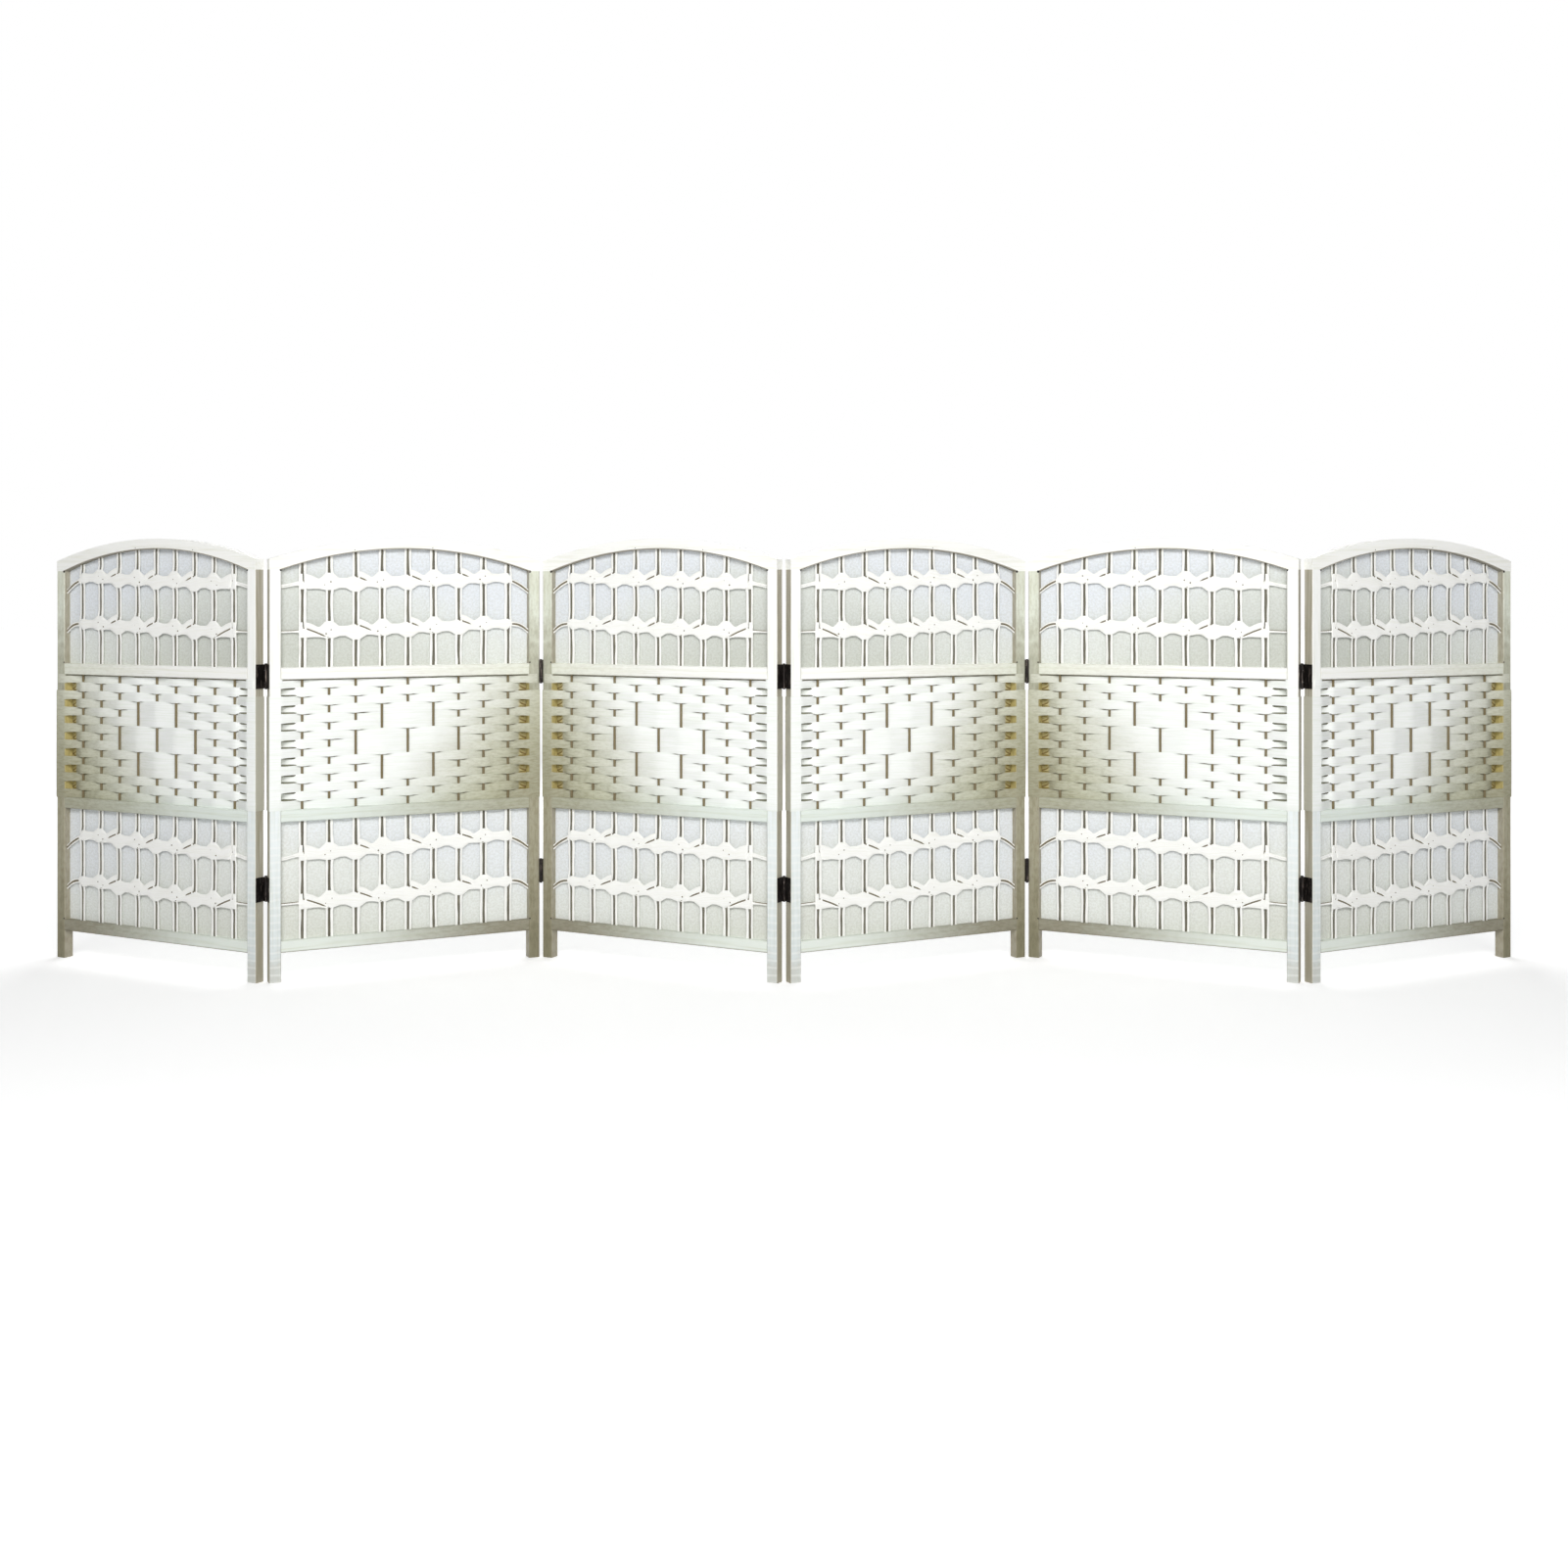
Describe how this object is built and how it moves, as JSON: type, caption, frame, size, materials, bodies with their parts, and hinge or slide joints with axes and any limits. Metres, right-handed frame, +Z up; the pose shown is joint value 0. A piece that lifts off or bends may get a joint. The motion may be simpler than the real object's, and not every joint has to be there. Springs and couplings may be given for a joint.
{
  "type": "folding screen",
  "caption": "Low freestanding folding screen: hinged wooden panels with arched tops, a woven ribbon band between two knotted cord nets.",
  "frame": {"origin": "on the floor under the middle of the screen, at the centre of its footprint as it stands in a zigzag", "axes": "+X along the screen to the viewer's right, +Y through it away from the viewer, +Z up"},
  "size_m": [2.8044, 0.2522, 0.802],
  "materials": {
    "frame_paint": "cream paint over wood, satin",
    "rod_wood": "brown wooden rod, matt",
    "paper_ribbon": "woven paper-fibre ribbon, matt",
    "paper_cord": "flat knotted paper-fibre cord, matt",
    "liner_cloth": "thin plain-weave cloth, matt",
    "hinge_metal": "dark bronze lacquer",
    "screw_metal": "dark bronze lacquer",
    "pin_metal": "dark bronze lacquer, rubbed"
  },
  "bodies": {
    "panel_1": {"posts_1": "frame_paint", "top_rail_1": "frame_paint", "cross_rails_1": "frame_paint", "rods_1": "rod_wood", "weave_1": "paper_ribbon", "nets_1": "paper_cord", "liners_1": "liner_cloth", "hinge_leaves_1": "hinge_metal", "hinge_screws_1": "screw_metal", "hinge_pins_1": "pin_metal"},
    "panel_2": {"posts_2": "frame_paint", "top_rail_2": "frame_paint", "cross_rails_2": "frame_paint", "rods_2": "rod_wood", "weave_2": "paper_ribbon", "nets_2": "paper_cord", "liners_2": "liner_cloth", "hinge_leaves_2": "hinge_metal", "hinge_screws_2": "screw_metal", "hinge_pins_2": "pin_metal"},
    "panel_3": {"posts_3": "frame_paint", "top_rail_3": "frame_paint", "cross_rails_3": "frame_paint", "rods_3": "rod_wood", "weave_3": "paper_ribbon", "nets_3": "paper_cord", "liners_3": "liner_cloth", "hinge_leaves_3": "hinge_metal", "hinge_screws_3": "screw_metal", "hinge_pins_3": "pin_metal"},
    "panel_4": {"posts_4": "frame_paint", "top_rail_4": "frame_paint", "cross_rails_4": "frame_paint", "rods_4": "rod_wood", "weave_4": "paper_ribbon", "nets_4": "paper_cord", "liners_4": "liner_cloth", "hinge_leaves_4": "hinge_metal", "hinge_screws_4": "screw_metal", "hinge_pins_4": "pin_metal"},
    "panel_5": {"posts_5": "frame_paint", "top_rail_5": "frame_paint", "cross_rails_5": "frame_paint", "rods_5": "rod_wood", "weave_5": "paper_ribbon", "nets_5": "paper_cord", "liners_5": "liner_cloth", "hinge_leaves_5": "hinge_metal", "hinge_screws_5": "screw_metal", "hinge_pins_5": "pin_metal"},
    "panel_6": {"posts_6": "frame_paint", "top_rail_6": "frame_paint", "cross_rails_6": "frame_paint", "rods_6": "rod_wood", "weave_6": "paper_ribbon", "nets_6": "paper_cord", "liners_6": "liner_cloth", "hinge_leaves_6": "hinge_metal", "hinge_screws_6": "screw_metal"}
  },
  "joints": [
    {"name": "hinge_1", "type": "hinge", "parent": "panel_2", "child": "panel_1", "pos_m": [-0.93567, -0.1037, 0], "axis": [0, 0, -1], "range_deg": [-54, 126]},
    {"name": "hinge_2", "type": "hinge", "parent": "panel_3", "child": "panel_2", "pos_m": [-0.46783, 0.1037, 0], "axis": [0, 0, 1], "range_deg": [-54, 126]},
    {"name": "hinge_3", "type": "hinge", "parent": "panel_3", "child": "panel_4", "pos_m": [0, -0.1037, 0], "axis": [0, 0, 1], "range_deg": [-54, 126]},
    {"name": "hinge_4", "type": "hinge", "parent": "panel_4", "child": "panel_5", "pos_m": [0.46783, 0.1037, 0], "axis": [0, 0, -1], "range_deg": [-54, 126]},
    {"name": "hinge_5", "type": "hinge", "parent": "panel_5", "child": "panel_6", "pos_m": [0.93567, -0.1037, 0], "axis": [0, 0, 1], "range_deg": [-54, 126]}
  ]
}
